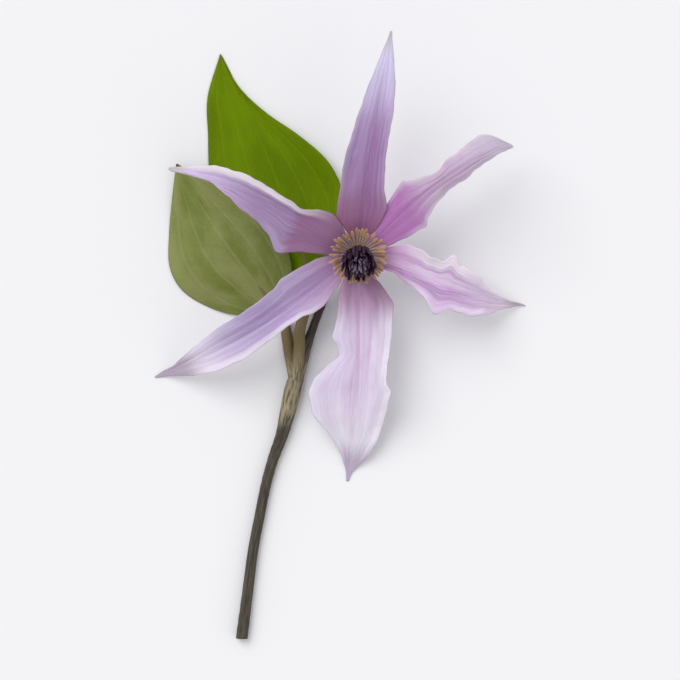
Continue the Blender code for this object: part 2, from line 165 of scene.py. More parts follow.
# foot, bend: points on the leaf stalk. base, tip: ends of the midrib. left, right: half-widths at even
# steps from base to tip. heights: of the midrib at base, middle and tip. side_lift: how far the left and
# right margins stand above it. pucker: depth of the nerves and height of the puckers between the veins.
Leaf = namedtuple("Leaf", "node foot bend base tip left right bow heights side_lift pucker")
LEAVES = [
    Leaf("leaf_right", (-11.3, -19.8, 3.5), (-10.9, -13.5, 2.9), (-8.8, -5.6, 1.9), (-26.2, 38.4, 0.3),
         (0.5, 7.6, 11.0, 12.4, 11.4, 8.8, 5.8), (0.5, 7.4, 10.8, 10.4, 7.2, 3.0, 0.3),
         -1.2, (1.9, 0.5, -0.8), (0.2, 1.5), 0.1),
    Leaf("leaf_left", (-12.85, -19.5, 1.35), (-13.5, -15.5, 1.3), (-14.6, -11.0, 1.6), (-34.4, 17.4, 2.2),
         (0.5, 7.0, 10.4, 12.0, 11.2, 8.0, 4.2), (0.5, 6.4, 9.0, 9.8, 8.8, 6.2, 3.0),
         1.0, (1.6, 4.3, 2.2), (-4.6, 1.0), 0.08),
]
LEAF_STALK_RADIUS = 0.68
LEAF_STALK_INSET = 5.0
NODE_HEART = (-11.9, -24.4, 1.7)  # the point in the node that both leaf stalks come from
LEAF_STALK_SWELL = (1.5, 1.6, 1.6, 1.6, 1.55, 1.15, 0.6, 0.12)  # radius from the node to the blade
LEAF_NERVES = (0.0, 0.36, 0.70)  # share of the half-width at which each main nerve runs
LEAF_VEIN_RATE = 9.0  # side veins along a leaf
LEAF_VEIN_SLANT = 2.2  # how far they climb towards the margin


def rgb(red, green, blue):
    """A colour written as it shows on a screen, 0 to 255, as the linear RGBA that a shader takes."""
    shown = np.array([red, green, blue]) / 255
    linear = np.where(shown <= 0.04045, shown / 12.92, ((shown + 0.055) / 1.055) ** 2.4)
    return (*(float(v) for v in linear), 1.0)


# ---- curves and frames


def through(values, t):
    """A smooth curve through evenly spaced values (Catmull-Rom), read at t from 0 to 1."""
    values = np.asarray(values, float)
    padded = np.concatenate([[2 * values[0] - values[1]], values, [2 * values[-1] - values[-2]]])
    place = np.clip(np.asarray(t, float), 0, 1) * (len(values) - 1)
    i = np.minimum(place.astype(int), len(values) - 2)
    f = (place - i).reshape(place.shape + (1,) * (values.ndim - 1))
    a, b, c, d = (padded[i + k] for k in range(4))
    return b + 0.5 * f * (c - a + f * (2 * a - 5 * b + 4 * c - d + f * (3 * (b - c) + d - a)))


def ease(t):
    """0 at 0 and 1 at 1, level at both ends."""
    return t * t * (3 - 2 * t)


def bell(x, width):
    """1 at 0, falling off smoothly on both sides."""
    return np.exp(-((x / width) ** 2))


def ripple(x, seed):
    """An uneven wave about 0: five sines whose rates have no common measure, each from its own start."""
    waves = ((1.0, 0.7, 0.4), (1.63, 1.3, 0.5), (2.41, 2.9, 0.4), (3.77, 4.1, 0.3), (5.39, 5.7, 0.2))
    return sum(share * np.sin(2 * math.pi * rate * x + start * (1 + seed)) for rate, start, share in waves)


def above_table(z, half_thickness):
    """Heights eased up so that none is under the table: a soft maximum of z and half the thickness."""
    over = (z - half_thickness) / TABLE_SOFTNESS
    return half_thickness + TABLE_SOFTNESS * np.logaddexp(0, over)


def from_flower(points):
    """Points about the flower's axis, leaned by its nod and lifted to its height above the table."""
    x, y, z = np.moveaxis(np.asarray(points, float), -1, 0)
    cos, sin = math.cos(NOD), math.sin(NOD)
    return np.stack([x, y * cos - z * sin, y * sin + z * cos + FLOWER_HEIGHT], axis=-1)


def turned(x, y, degrees):
    """x and y turned anticlockwise about the flower's axis."""
    a = math.radians(degrees)
    return x * math.cos(a) - y * math.sin(a), x * math.sin(a) + y * math.cos(a)


def receptacle_profile(dome_points):
    """The dome and its neck as (radius, height), from the top down."""
    angles = np.linspace(0, math.pi / 2, dome_points)
    dome = np.stack([DOME_RADIUS * np.sin(angles), DOME_HEIGHT * np.cos(angles)], axis=-1)
    neck = [(0.84 * DOME_RADIUS, -0.3 * NECK_DEPTH), (1.25 * NECK_RADIUS, -0.75 * NECK_DEPTH)]
    foot = [(NECK_RADIUS, -NECK_DEPTH), (0.0, -NECK_DEPTH)]
    return np.concatenate([dome, neck, foot])


def round_angles(count):
    """That many angles, evenly spaced round a turn."""
    return np.linspace(0, 2 * math.pi, count, endpoint=False)


def turned_rings(profile, around):
    """A profile carried round the flower's axis: one ring of points for each profile point."""
    a = round_angles(around)
    radius, height = profile.T
    x, y = np.outer(radius, np.cos(a)), np.outer(radius, np.sin(a))
    return from_flower(np.stack([x, y, np.repeat(height[:, None], around, axis=1)], axis=-1))


def frame_shift():
    """Where the solids' frame has the flower's centre, found by matching the receptacle's box."""
    low = turned_rings(receptacle_profile(SOLID_DOME_POINTS), SOLID_DOME_AROUND).reshape(-1, 3).min(axis=0)
    return np.array(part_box("receptacle")[0]) - low * MM


SHIFT = frame_shift()


def row_frame(points):
    """Millimetres about the flower's centre, as metres in the solids' frame."""
    return points * MM + SHIFT


# ---- meshes


def finished(name, shape, materials, node):
    """A mesh object from (points, faces, place), riding on the root body in place of its solid, if any."""
    points, faces, place = shape
    mesh = bpy.data.meshes.new(name)
    mesh.from_pydata(row_frame(points).tolist(), [], faces)
    layer = mesh.attributes.new("place", "FLOAT_VECTOR", "POINT")
    layer.data.foreach_set("vector", np.ascontiguousarray(place, dtype=np.float32).ravel())
    for material in materials:
        mesh.materials.append(material)
    mesh.shade_smooth()
    mesh.update()
    piece = bpy.data.objects.new(name, mesh)
    bpy.context.scene.collection.objects.link(piece)
    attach(piece, "root")
    if node:
        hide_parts(node)
    return piece


def blade_arrays(middle, half_thickness, cells):
    """A closed thin blade about the surface middle(t, s).

    Both faces stand off the middle surface along its normal by half the thickness, which runs out to
    nothing at the rim, where the two faces share their points. Returns points, faces and place, which
    is (t, s, 0 on the upper face or 1 on the under face) for each point.
    """
    rows, columns = np.linspace(0, 1, cells[0] + 1), np.linspace(-1, 1, cells[1] + 1)
    t, s = np.meshgrid(rows, columns, indexing="ij")
    surface = middle(t, s)
    normal = np.cross(np.gradient(surface, axis=0), np.gradient(surface, axis=1))
    normal /= np.maximum(np.linalg.norm(normal, axis=-1, keepdims=True), 1e-12)
    rim = np.sqrt(np.clip(1 - np.abs(s) ** 14, 0, 1)) * np.sqrt(np.clip(1 - np.abs(2 * t - 1) ** 60, 0, 1))
    off = normal * (half_thickness * rim)[..., None]

    shape = t.shape
    upper_index = np.arange(t.size).reshape(shape)
    inner = np.zeros(shape, bool)
    inner[1:-1, 1:-1] = True
    under_index = upper_index.copy()
    under_index[inner] = t.size + np.arange(inner.sum())
    points = np.concatenate([(surface + off).reshape(-1, 3), (surface - off)[inner]])
    points[:, 2] = np.maximum(points[:, 2], LOWEST_POINT)

    def quads(index):
        corners = [index[:-1, :-1], index[1:, :-1], index[1:, 1:], index[:-1, 1:]]
        return np.stack(corners, axis=-1).reshape(-1, 4)

    faces = np.concatenate([quads(upper_index), quads(under_index)[:, ::-1]]).tolist()
    upper = np.stack([t.ravel(), s.ravel(), np.zeros(t.size)], axis=-1)
    under = np.stack([t[inner], s[inner], np.ones(inner.sum())], axis=-1)
    return points, faces, np.concatenate([upper, under])


def closed_rings(rings, ends, turned_over=False):
    """A closed skin over rings of points, with a fan to one more point at each end.

    turned_over makes the other side of each face its front. Returns points, faces and place, which is
    (share of the length, cosine, sine of the angle round it) for each point.
    """
    count, around = rings.shape[:2]
    index = np.arange(count * around).reshape(count, around)
    step = np.roll(index, -1, axis=1)
    walls = np.stack([index[:-1], step[:-1], step[1:], index[1:]], axis=-1).reshape(-1, 4)
    foot = np.stack([np.full(around, index.size), step[0], index[0]], axis=-1)
    head = np.stack([np.full(around, index.size + 1), index[-1], step[-1]], axis=-1)
    faces = walls.tolist() + foot.tolist() + head.tolist()
    if turned_over:
        faces = [[face[0], *face[:0:-1]] for face in faces]
    a = round_angles(around)
    share = np.repeat(np.linspace(0, 1, count)[:, None], around, axis=1)
    place = np.stack([share, np.tile(np.cos(a), (count, 1)), np.tile(np.sin(a), (count, 1))], axis=-1)
    points = np.concatenate([rings.reshape(-1, 3), ends])
    return points, faces, np.concatenate([place.reshape(-1, 3), [(0, 0, 0), (1, 0, 0)]])


def tube_arrays(line, wide, deep, sideways):
    """A closed tube along a line of points.

    wide and deep are its half-width and half-depth at each (point, angle). sideways is the direction
    that the width lies along.
    """
    along = np.gradient(line, axis=0)
    along /= np.linalg.norm(along, axis=1, keepdims=True)
    side = sideways - (along @ sideways)[:, None] * along
    side /= np.linalg.norm(side, axis=1, keepdims=True)
    up = np.cross(along, side)
    a = round_angles(wide.shape[1])
    rings = line[:, None] + (wide * np.cos(a))[..., None] * side[:, None]
    rings = rings + (deep * np.sin(a))[..., None] * up[:, None]
    return closed_rings(rings, line[[0, -1]])


def joined(*parts):
    """Several (points, faces, place) as one."""
    starts = np.cumsum([0] + [len(points) for points, _, _ in parts])
    faces = [[i + int(start) for i in face] for start, part in zip(starts, parts) for face in part[1]]
    return np.concatenate([part[0] for part in parts]), faces, np.concatenate([part[2] for part in parts])


# ---- shader helpers


def feed(tree, socket, value):
    """Links a socket to another, or sets its own value."""
    if isinstance(value, bpy.types.NodeSocket):
        tree.links.new(value, socket)
    else:
        socket.default_value = value


def sums(tree, operation, *values):
    """A Math node's result."""
    node = tree.nodes.new("ShaderNodeMath")
    node.operation = operation
    for socket, value in zip(node.inputs, values):
        feed(tree, socket, value)
    return node.outputs[0]


def fade(tree, value, start, end):
    """0 where value is at start and 1 where it is at end, smoothly, in either direction."""
    node = tree.nodes.new("ShaderNodeMapRange")
    node.interpolation_type = "SMOOTHSTEP"
    feed(tree, node.inputs["Value"], value)
    feed(tree, node.inputs["From Min"], start)
    feed(tree, node.inputs["From Max"], end)
    return node.outputs[0]


def blend(tree, share, first, second):
    """first, with that share of second mixed in."""
    node = tree.nodes.new("ShaderNodeMix")
    node.data_type = "RGBA"
    feed(tree, node.inputs[0], share)
    feed(tree, node.inputs[6], first)
    feed(tree, node.inputs[7], second)
    return node.outputs[2]


def brightened(tree, colour, factor):
    """A colour made lighter or darker by a factor."""
    node = tree.nodes.new("ShaderNodeHueSaturation")
    feed(tree, node.inputs["Value"], factor)
    feed(tree, node.inputs["Color"], colour)
    return node.outputs[0]


def cloud(tree, vector, detail):
    """Noise from 0 to 1, about 0.5."""
    node = tree.nodes.new("ShaderNodeTexNoise")
    feed(tree, node.inputs["Vector"], vector)
    node.inputs["Scale"].default_value = 1.0
    node.inputs["Detail"].default_value = detail
    return node.outputs[0]


def net(tree, vector):
    """Distance from the nearest line of an irregular net."""
    node = tree.nodes.new("ShaderNodeTexVoronoi")
    node.feature = "DISTANCE_TO_EDGE"
    feed(tree, node.inputs["Vector"], vector)
    node.inputs["Scale"].default_value = 1.0
    return node.outputs["Distance"]


def vector_of(tree, x, y, z):
    """Three numbers as a vector."""
    node = tree.nodes.new("ShaderNodeCombineXYZ")
    for socket, value in zip(node.inputs, (x, y, z)):
        feed(tree, socket, value)
    return node.outputs[0]


def stretched(tree, x, x_rate, y, y_rate, z):
    """Two numbers, each times its rate, and a third, as a vector to read a texture at."""
    return vector_of(tree, sums(tree, "MULTIPLY", x, x_rate), sums(tree, "MULTIPLY", y, y_rate), z)


def centred(tree, value):
    """A noise value as a swing about 0."""
    return sums(tree, "SUBTRACT", value, 0.5)


def parts_of(tree, vector):
    """A vector as its three numbers."""
    node = tree.nodes.new("ShaderNodeSeparateXYZ")
    feed(tree, node.inputs[0], vector)
    return node.outputs


def new_pattern(name, colours, numbers):
    """An empty pattern as a shader group: (tree, its inputs by name, its outputs by name).

    It takes Place, the mesh's own attribute, and the named colours and numbers.
    """
    tree = bpy.data.node_groups.new(name, "ShaderNodeTree")
    sockets = [("INPUT", "Place", "NodeSocketVector")]
    sockets += [("INPUT", label, "NodeSocketColor") for label in colours]
    sockets += [("INPUT", label, "NodeSocketFloat") for label in numbers]
    sockets += [("OUTPUT", "Color", "NodeSocketColor")]
    sockets += [("OUTPUT", label, "NodeSocketFloat") for label in ("Height", "Roughness")]
    for side, label, kind in sockets:
        tree.interface.new_socket(name=label, in_out=side, socket_type=kind)
    taken = tree.nodes.new("NodeGroupInput").outputs
    given = tree.nodes.new("NodeGroupOutput").inputs
    return tree, taken, given


def sepal_pattern():
    """Colour and relief of a sepal.

    Three zones along it, the inner one partly painted shade of the cupped base, a darker bar and stripes,
    lengthwise veins, darker patches, a pale rim, a greyer tip that is partly painted shade where it curls
    down, and another colour underneath.
    """
    tree, given, out = new_pattern(
        "sepal pattern",
        ["Inner", "Middle", "Outer", "Bar", "Edge", "Tip", "Under"],
        ["Inner end", "Softness", "Bar strength", "Pale side", "Tip start", "Seed"],
    )
    t, s, under = parts_of(tree, given["Place"])
    seed = given["Seed"]
    streaks = cloud(tree, stretched(tree, t, 1.5, s, 6.0, seed), 4)
    fine = cloud(tree, stretched(tree, t, 5.0, s, 24.0, seed), 3)
    blotch = cloud(tree, stretched(tree, t, 6.0, s, 2.5, seed), 3)
    swing = centred(tree, streaks)

    wander = sums(tree, "MULTIPLY_ADD", swing, 2.0, sums(tree, "MULTIPLY", s, 6.5))
    line = sums(tree, "ABSOLUTE", sums(tree, "SINE", sums(tree, "MULTIPLY", wander, math.pi)))
    vein = sums(tree, "MULTIPLY", fade(tree, line, 0.26, 0.0), fade(tree, t, 1.0, 0.6))
    vein = sums(tree, "MULTIPLY", vein, fade(tree, streaks, 0.36, 0.62))

    along = sums(tree, "MULTIPLY_ADD", swing, 0.14, t)
    inner_full = sums(tree, "SUBTRACT", given["Inner end"], given["Softness"])
    inner_gone = sums(tree, "ADD", given["Inner end"], given["Softness"])
    # the inner zone's darker colour is partly painted shade of the cupped base
    colour = blend(tree, fade(tree, along, inner_full, inner_gone), given["Inner"], given["Middle"])
    colour = blend(tree, fade(tree, along, 0.45, 0.85), colour, given["Outer"])
    off_middle = sums(tree, "MULTIPLY_ADD", given["Pale side"], 0.6, s)
    across = sums(tree, "MULTIPLY_ADD", swing, 0.5, sums(tree, "ABSOLUTE", off_middle))
    bar = sums(tree, "MULTIPLY", fade(tree, across, 0.5, 0.04), fade(tree, t, 0.97, 0.35))
    bar = sums(tree, "MULTIPLY", bar, given["Bar strength"])
    colour = blend(tree, sums(tree, "MULTIPLY", bar, fade(tree, fine, 0.15, 0.75)), colour, given["Bar"])
    stripe = cloud(tree, stretched(tree, t, 1.1, s, 3.6, sums(tree, "ADD", seed, 7.0)), 2)
    stripe = sums(tree, "MULTIPLY", fade(tree, stripe, 0.46, 0.66), fade(tree, t, 0.95, 0.25))
    stripe = sums(tree, "MULTIPLY", stripe, fade(tree, sums(tree, "ABSOLUTE", s), 1.0, 0.6))
    stripe = sums(tree, "MULTIPLY", stripe, sums(tree, "MULTIPLY", given["Bar strength"], 0.6))
    colour = blend(tree, stripe, colour, given["Bar"])
    colour = blend(tree, sums(tree, "MULTIPLY", vein, 0.16), colour, given["Bar"])
    patch = sums(tree, "MULTIPLY", fade(tree, blotch, 0.5, 0.68), fade(tree, t, 0.85, 0.45))
    colour = blend(tree, sums(tree, "MULTIPLY", patch, 0.32), colour, given["Bar"])
    outward = sums(tree, "MULTIPLY_ADD", s, given["Pale side"], sums(tree, "ABSOLUTE", s))
    rim = fade(tree, sums(tree, "MULTIPLY_ADD", centred(tree, fine), 0.35, outward), 0.72, 1.04)
    rim = sums(tree, "MULTIPLY", rim, fade(tree, t, 0.10, 0.34))
    colour = blend(tree, sums(tree, "MULTIPLY", rim, 0.7), colour, given["Edge"])
    # the tip's greyer colour is partly painted shade where the tip curls down
    tip = fade(tree, along, given["Tip start"], sums(tree, "ADD", given["Tip start"], 0.14))
    colour = blend(tree, sums(tree, "MULTIPLY", tip, 0.85), colour, given["Tip"])
    below = brightened(tree, given["Under"], sums(tree, "MULTIPLY_ADD", vein, -0.12, 1.0))
    colour = blend(tree, sums(tree, "MULTIPLY", under, 0.85), colour, below)
    shade = sums(tree, "MULTIPLY_ADD", centred(tree, blotch), 0.38, 1.0)
    feed(tree, out["Color"], brightened(tree, colour, shade))
    relief = sums(tree, "MULTIPLY_ADD", fine, 0.5, sums(tree, "MULTIPLY", streaks, 0.5))
    feed(tree, out["Height"], sums(tree, "MULTIPLY_ADD", vein, -0.6, relief))
    feed(tree, out["Roughness"], sums(tree, "MULTIPLY_ADD", fine, 0.25, 0.42))
    return tree


def leaf_pattern():
    """Colour and relief of a leaf: main nerves from foot to tip, side veins between them, a fine net."""
    tree, given, out = new_pattern(
        "leaf pattern",
        ["Shown", "Shown dark", "Shown vein", "Hidden", "Tip"],
        ["Net", "Seed"],
    )
    t, s, under = parts_of(tree, given["Place"])
    seed = given["Seed"]
    side = sums(tree, "ABSOLUTE", s)
    soft = cloud(tree, stretched(tree, t, 3.0, s, 1.6, seed), 3)
    wobble = sums(tree, "MULTIPLY", centred(tree, soft), 0.10)
    nearest = 1.0
    for place in LEAF_NERVES:
        off = sums(tree, "ABSOLUTE", sums(tree, "SUBTRACT", sums(tree, "ADD", side, wobble), place))
        nearest = sums(tree, "MINIMUM", off, nearest)
    middle = sums(tree, "MINIMUM", side, nearest)
    nerve = fade(tree, middle, 0.045, 0.008)
    climb = sums(tree, "MULTIPLY_ADD", t, LEAF_VEIN_RATE, sums(tree, "MULTIPLY", soft, 1.2))
    climb = sums(tree, "MULTIPLY_ADD", side, -LEAF_VEIN_SLANT, climb)
    line = sums(tree, "ABSOLUTE", sums(tree, "SINE", sums(tree, "MULTIPLY", climb, math.pi)))
    veins = sums(tree, "MULTIPLY", fade(tree, line, 0.20, 0.02), 0.35)
    netting = fade(tree, net(tree, stretched(tree, t, 26.0, s, 13.0, seed)), 0.16, 0.02)
    netting = sums(tree, "MULTIPLY", netting, given["Net"])
    lines = sums(tree, "MAXIMUM", nerve, sums(tree, "MAXIMUM", veins, netting))

    colour = blend(tree, fade(tree, soft, 0.35, 0.68), given["Shown"], given["Shown dark"])
    grain = cloud(tree, stretched(tree, t, 60.0, s, 30.0, seed), 2)
    colour = blend(tree, sums(tree, "MULTIPLY", lines, 0.4), colour, given["Shown vein"])
    colour = blend(tree, sums(tree, "MULTIPLY", under, 0.95), colour, given["Hidden"])
    colour = blend(tree, fade(tree, t, 0.965, 0.995), colour, given["Tip"])
    shade = sums(tree, "MULTIPLY_ADD", centred(tree, grain), 0.16, 1.0)
    feed(tree, out["Color"], brightened(tree, colour, shade))
    feed(tree, out["Height"], sums(tree, "MULTIPLY_ADD", lines, -1.0, sums(tree, "MULTIPLY", grain, 0.3)))
    feed(tree, out["Roughness"], sums(tree, "MULTIPLY_ADD", grain, 0.2, 0.34))
    return tree


def stem_pattern():
    """Colour and relief of a stem or thread: lengthwise streaks, a knot, an end of another colour and painted
    shade down the grooved side.
    """
    tree, given, out = new_pattern(
        "stem pattern",
        ["Light", "Dark", "End", "Knot"],
        ["End start", "End full", "Length", "Groove shade", "Seed", "Knot place", "Knot reach"],
    )
    t, cos, sin = parts_of(tree, given["Place"])
    along = sums(tree, "MULTIPLY_ADD", t, given["Length"], given["Seed"])
    wide, deep = (sums(tree, "MULTIPLY", part, 3.2) for part in (cos, sin))
    streaks = cloud(tree, vector_of(tree, along, wide, deep), 4)
    wide, deep = (sums(tree, "MULTIPLY", part, 9.0) for part in (cos, sin))
    grain = cloud(tree, vector_of(tree, sums(tree, "MULTIPLY", along, 6.0), wide, deep), 3)
    colour = blend(tree, fade(tree, streaks, 0.32, 0.68), given["Light"], given["Dark"])
    colour = blend(tree, fade(tree, t, given["End start"], given["End full"]), colour, given["End"])
    beside = sums(tree, "ABSOLUTE", sums(tree, "SUBTRACT", t, given["Knot place"]))
    beside = sums(tree, "MULTIPLY_ADD", centred(tree, streaks), 0.08, beside)
    knot = fade(tree, beside, given["Knot reach"], sums(tree, "MULTIPLY", given["Knot reach"], 0.35))
    colour = blend(tree, sums(tree, "MULTIPLY", knot, fade(tree, streaks, 0.75, 0.35)), colour, given["Knot"])
    # painted shade: a darker band down the side of each thread where its head is grooved
    groove = sums(tree, "MULTIPLY", fade(tree, sin, 0.80, 1.0), given["Groove shade"])
    shade = sums(tree, "MULTIPLY_ADD", centred(tree, grain), 0.5, 1.0)
    shade = sums(tree, "SUBTRACT", shade, groove)
    feed(tree, out["Color"], brightened(tree, colour, shade))
    feed(tree, out["Height"], sums(tree, "MULTIPLY_ADD", streaks, 0.6, sums(tree, "MULTIPLY", grain, 0.5)))
    feed(tree, out["Roughness"], sums(tree, "MULTIPLY_ADD", grain, 0.3, 0.4))
    return tree


GROUPS = {"sepal": sepal_pattern(), "leaf": leaf_pattern(), "stem": stem_pattern()}
BUMP_STRENGTH = 0.5
SUBSURFACE_REACH = 0.6


def painted(name, group, bump_depth, values, subsurface=0.0, gloss=0.4):
    """A material whose colour, roughness and bump come from one of the pattern groups.

    values are the group's own inputs. bump_depth is in millimetres.
    """
    material = bpy.data.materials.new(name)
    material.use_nodes = True
    tree = material.node_tree
    shader = tree.nodes["Principled BSDF"]
    place = tree.nodes.new("ShaderNodeAttribute")
    place.attribute_name = "place"
    pattern = tree.nodes.new("ShaderNodeGroup")
    pattern.node_tree = GROUPS[group]
    tree.links.new(place.outputs["Vector"], pattern.inputs["Place"])
    for label, value in values.items():
        pattern.inputs[label].default_value = value
    bump = tree.nodes.new("ShaderNodeBump")
    bump.inputs["Strength"].default_value = BUMP_STRENGTH
    bump.inputs["Distance"].default_value = bump_depth * MM
    tree.links.new(pattern.outputs["Height"], bump.inputs["Height"])
    tree.links.new(pattern.outputs["Color"], shader.inputs["Base Color"])
    tree.links.new(pattern.outputs["Roughness"], shader.inputs["Roughness"])
    tree.links.new(bump.outputs["Normal"], shader.inputs["Normal"])
    shader.inputs["Metallic"].default_value = 0.0
    shader.inputs["Subsurface Weight"].default_value = subsurface
    shader.inputs["Subsurface Scale"].default_value = SUBSURFACE_REACH * MM
    shader.inputs["Specular IOR Level"].default_value = gloss
    return material


# ---- sepals

SEPAL_COLOUR_LABELS = (
    "Inner", "Middle", "Outer", "Bar", "Edge", "Tip", "Under",
    "Inner end", "Softness", "Bar strength", "Pale side", "Tip start",
)
# In the labels' order: seven colours, then where the inner colour ends, how softly, how strong the bar is,
# how much further in the pale margin comes on the left (above 0) or on the right (below 0), and where the
# tip's colour starts. The colours are partly the sepals' own and partly painted shade: the top, upper right
# and upper left sepals are painted darker, most of all in their cupped inner part and at the upper left one's
# sharp fold, where they face away from the light, and the greyer tips are partly painted shade where they
# curl down.
SEPAL_COLOURS_AND_SHADE = {
    "sepal_top": (rgb(152, 102, 136), rgb(173, 144, 191), rgb(213, 206, 236), rgb(134, 88, 136),
                  rgb(182, 166, 194), rgb(190, 186, 184), rgb(196, 182, 204),
                  0.24, 0.18, 0.8, 0.0, 0.86),
    "sepal_upper_right": (rgb(182, 122, 184), rgb(198, 178, 202), rgb(200, 188, 208), rgb(160, 106, 162),
                          rgb(222, 212, 222), rgb(182, 176, 174), rgb(205, 192, 212),
                          0.34, 0.10, 0.55, 0.0, 0.88),
    "sepal_right": (rgb(192, 152, 194), rgb(232, 213, 239), rgb(226, 211, 230), rgb(168, 116, 178),
                    rgb(240, 234, 240), rgb(184, 168, 182), rgb(208, 196, 214),
                    0.22, 0.15, 0.85, 0.45, 0.78),
    "sepal_bottom": (rgb(158, 124, 154), rgb(224, 212, 236), rgb(233, 228, 240), rgb(190, 150, 190),
                     rgb(240, 235, 243), rgb(176, 160, 184), rgb(214, 204, 218),
                     0.23, 0.10, 0.55, 0.1, 0.78),
    "sepal_lower_left": (rgb(182, 148, 184), rgb(190, 174, 211), rgb(236, 229, 242), rgb(146, 112, 164),
                         rgb(234, 226, 238), rgb(168, 152, 172), rgb(212, 200, 218),
                         0.20, 0.16, 0.8, 0.25, 0.72),
    "sepal_upper_left": (rgb(154, 112, 148), rgb(168, 148, 184), rgb(217, 197, 235), rgb(130, 88, 132),
                         rgb(238, 232, 236), rgb(196, 190, 178), rgb(206, 194, 210),
                         0.30, 0.03, 0.5, -0.45, 0.84),
}


def room_beside(sepal, side):
    """Half the angle, in degrees, to the next sepal on that side: +1 is left and -1 is right."""
    others = [other for other in SEPALS if other is not sepal]
    return min((side * (other.bearing - sepal.bearing)) % FULL_TURN for other in others) / 2


def outline(edge, radius):
    """An edge's distance from the line to the tip: straight between its points, then slightly smoothed."""
    beyond = edge[-1][0] + 3
    reach = np.linspace(edge[0][0], beyond, OUTLINE_STEPS)
    corners = np.array([*edge, (beyond, 0.0)])
    raw = np.interp(reach, corners[:, 0], corners[:, 1])
    kernel = bell(np.linspace(-2, 2, 2 * OUTLINE_SMOOTHING + 1), 1.0)
    padded = np.pad(raw, OUTLINE_SMOOTHING, mode="edge")
    smooth = np.convolve(padded, kernel / kernel.sum(), mode="valid")
    return np.interp(radius, reach, smooth)


def sepal_middle(sepal, t, s):
    """A sepal's middle surface, as the solid's, with its real outline, nerves and uneven margin.

    The midrib climbs at rise, bends over to fall and swings sideways by bow. Each half stands off it by
    fold, the margin waves and curls down by roll, less where the sepal bends down, and the section turns
    by twist towards the tip. Three nerves are sunk as narrow grooves, and a slow crumple and an uneven
    frill grow towards the margin.
    """
    steps = np.linspace(0, 1, 400)
    slopes = np.radians(sepal.rise + (sepal.fall - sepal.rise) * ease(steps**sepal.late))
    start = SEPAL_ROOT_RADIUS
    out = np.concatenate([[0], np.cumsum((np.cos(slopes[1:]) + np.cos(slopes[:-1])) / 2)])
    up = np.concatenate([[0], np.cumsum((np.sin(slopes[1:]) + np.sin(slopes[:-1])) / 2)])
    scale = (sepal.reach - start) / out.max()
    radius = start + scale * np.interp(t, steps, out)
    height = scale * np.interp(t, steps, up) - SEPAL_SEAT_DEPTH
    height = height + SEPAL_TIER * (SEPALS.index(sepal) % 2 - 0.5) * (1 - ease(np.clip(3 * t, 0, 1)))
    slope = np.interp(t, steps, slopes)

    middle = np.sin(math.pi * t)
    turn = np.radians(sepal.twist) * t**1.5
    width = np.zeros_like(t)
    for side, edge in ((1, sepal.left), (-1, sepal.right)):
        wide = outline(edge, radius)
        wide = wide + 1.6 * sepal.frill * middle * ripple(3.3 * t, sepal.phase + 0.3 * side)
        wide = (wide - side * sepal.bow * middle) / np.cos(turn)
        room = radius * math.tan(math.radians(room_beside(sepal, side))) + SEPAL_OVERLAP
        room = room - side * sepal.bow * middle
        here = np.minimum(np.maximum(wide, SEPAL_LEAST_HALF_WIDTH), room)
        width = np.where(side * s >= 0, here, width)

    margin = np.abs(s) ** 3
    lift = width * np.abs(s) ** 1.5 * math.tan(math.radians(sepal.fold)) * middle
    wave = np.sin(2 * math.pi * (sepal.waves * t + sepal.phase + 0.17 * np.sign(s)))
    lift = lift + sepal.ruffle * wave * middle * margin
    frill = ripple(2.7 * t + 0.15 * s, sepal.phase + np.sign(s))
    lift = lift + 2.2 * sepal.frill * frill * middle * np.abs(s) ** 4
    curl = sepal.roll * ease(np.clip(1.8 * t - 0.5, 0, 1)) * np.cos(slope) ** 4
    lift = lift - curl * width * s * s
    nerves = bell(s, 0.06) + 0.8 * bell(np.abs(s) - 0.38, 0.05)
    lift = lift - 0.16 * nerves * middle**0.5 * (1 - 0.6 * t)
    lift = lift + 0.05 * ripple(1.7 * s + 0.4 * t, sepal.phase) * middle
    crumple = np.sin(2 * math.pi * (3.1 * t + 0.9 * s + sepal.phase))
    crumple = crumple * np.sin(2 * math.pi * (2.3 * t - 0.7 * s))
    lift = lift + 0.28 * crumple * middle * np.abs(s)

    across = s * width
    across, lift = across * np.cos(turn) - lift * np.sin(turn), across * np.sin(turn) + lift * np.cos(turn)
    x = radius - lift * np.sin(slope)
    y = across + sepal.bow * middle
    z = height + lift * np.cos(slope)
    x, y = turned(x, y, sepal.bearing)
    z = y * math.sin(NOD) + z * math.cos(NOD) + FLOWER_HEIGHT
    return np.stack([x, y, above_table(z, SEPAL_HALF_THICKNESS + CLEAR_OF_TABLE)], axis=-1)


def make_sepals():
    """Each sepal as a closed blade with its own colours and painted shade."""
    for number, sepal in enumerate(SEPALS):
        # colours with painted shade on the upper sepals, their cupped inner parts and their tips
        values = dict(zip(SEPAL_COLOUR_LABELS, SEPAL_COLOURS_AND_SHADE[sepal.node]))
        values["Seed"] = 3.7 * number
        finish = painted(sepal.node + "_tissue", "sepal", 0.2, values, subsurface=0.12, gloss=0.25)
        shape = blade_arrays(partial(sepal_middle, sepal), SEPAL_HALF_THICKNESS, SEPAL_CELLS)
        finished(sepal.node + "_blade", shape, [finish], sepal.node)


# ---- leaves

LEAF_COLOUR_LABELS = ("Shown", "Shown dark", "Shown vein", "Hidden", "Tip", "Net")
# In the labels' order: five colours, shown being the side that faces up, then the net's strength
LEAF_COLOURS = {
    "leaf_right": (rgb(106, 134, 2), rgb(92, 118, 1), rgb(114, 140, 12), rgb(118, 128, 66),
                   rgb(120, 110, 50), 0.2),
    "leaf_left": (rgb(138, 143, 88), rgb(108, 120, 52), rgb(146, 150, 104), rgb(104, 130, 20),
                  rgb(96, 66, 36), 0.2),
}


